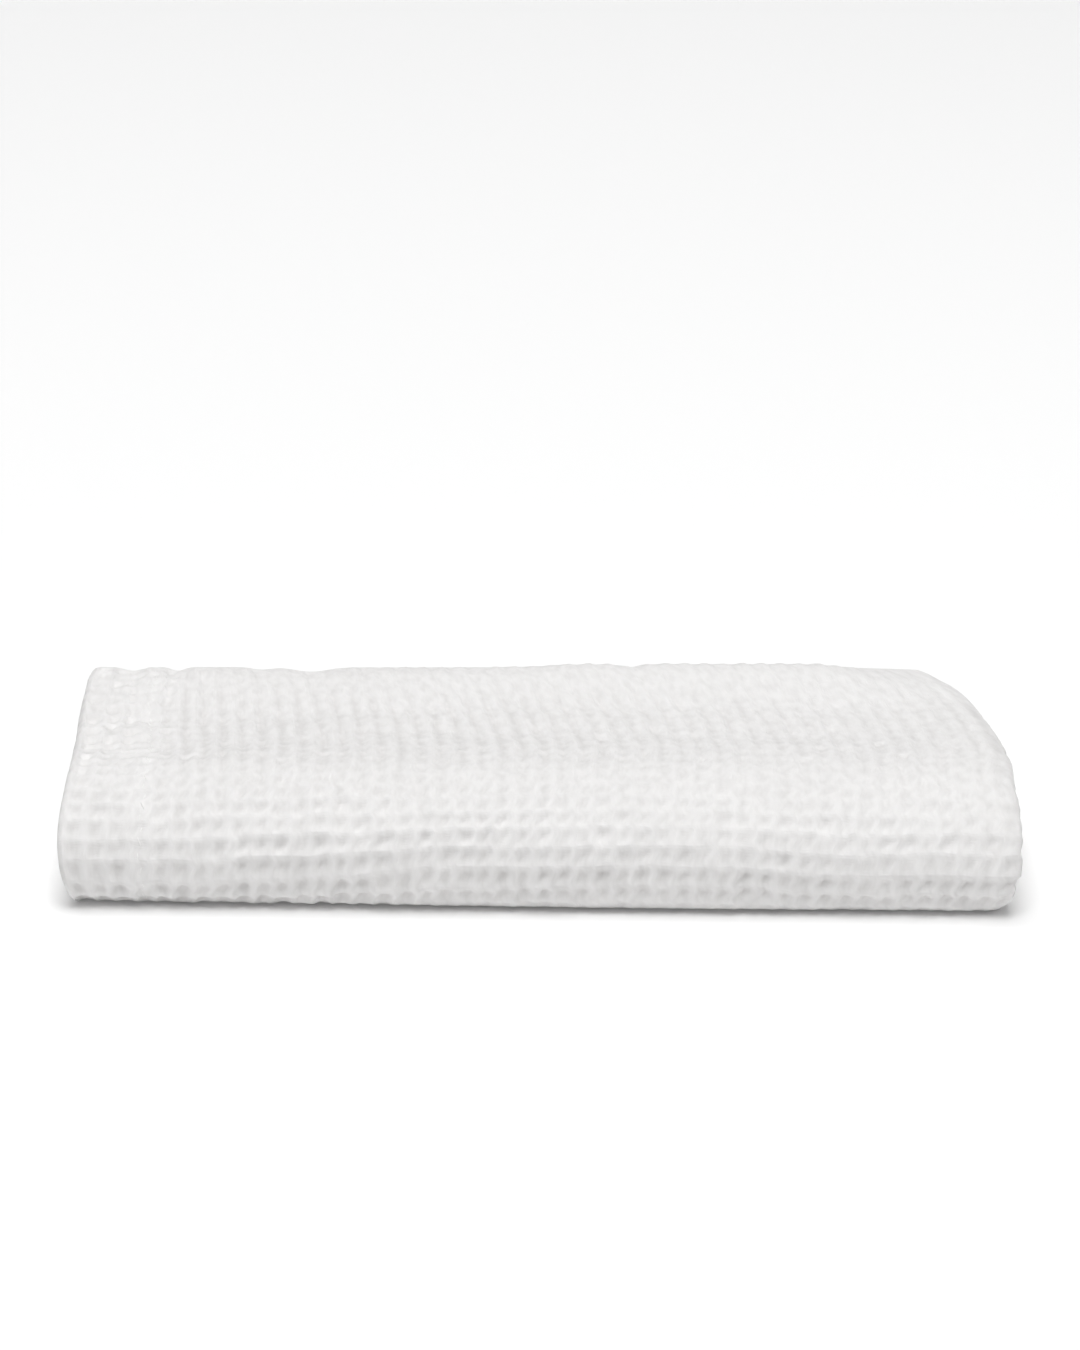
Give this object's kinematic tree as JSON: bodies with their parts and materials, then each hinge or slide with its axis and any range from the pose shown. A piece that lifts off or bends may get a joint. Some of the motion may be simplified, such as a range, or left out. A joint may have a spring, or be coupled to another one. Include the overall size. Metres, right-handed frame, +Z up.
{
  "type": "folded linen guest towel",
  "caption": "Linen guest towel in honeycomb weave with hemmed ends, folded into a soft flat package with one big rounded fold at the front and its free edges at the back.",
  "frame": {"origin": "centre of the underside of the bounding box, on the surface that the towel rests on", "axes": "+X along the folded towel from its hemmed ends to its soft end fold, +Y from its big front fold to its back, +Z up"},
  "size_m": [0.2544, 0.1108, 0.0342],
  "materials": {
    "linen": "matte washed linen in an off-white honeycomb weave"
  },
  "bodies": {
    "root": {"towel": "linen"}
  },
  "joints": []
}
